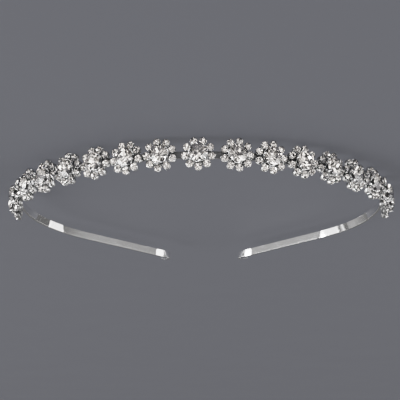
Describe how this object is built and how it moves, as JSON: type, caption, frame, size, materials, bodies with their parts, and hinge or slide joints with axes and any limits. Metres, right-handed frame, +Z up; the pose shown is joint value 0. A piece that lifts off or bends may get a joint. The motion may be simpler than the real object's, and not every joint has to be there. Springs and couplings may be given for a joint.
{
  "type": "tiara",
  "caption": "Thin flat metal headband with curled ends, carrying a row of cut-stone flowers round its front.",
  "frame": {"origin": "middle of the tiara's bounding box in X and Y, on the surface it lies on", "axes": "+X to one side across the headband, +Y from the flowered front to the two ends, +Z up, square to the headband's plane"},
  "size_m": [0.1406, 0.1328, 0.0117],
  "materials": {
    "silver_metal": "polished",
    "crystal": "polished"
  },
  "bodies": {
    "root": {"frame": "silver_metal", "centre_stone_01": "crystal", "centre_stone_02": "crystal", "centre_stone_03": "crystal", "centre_stone_04": "crystal", "centre_stone_05": "crystal", "centre_stone_06": "crystal", "centre_stone_07": "crystal", "centre_stone_08": "crystal", "centre_stone_09": "crystal", "centre_stone_10": "crystal", "centre_stone_11": "crystal", "centre_stone_12": "crystal", "centre_stone_13": "crystal", "centre_stone_14": "crystal", "centre_stone_15": "crystal", "centre_stone_16": "crystal", "centre_stone_17": "crystal", "petal_stones": "crystal"}
  },
  "joints": []
}
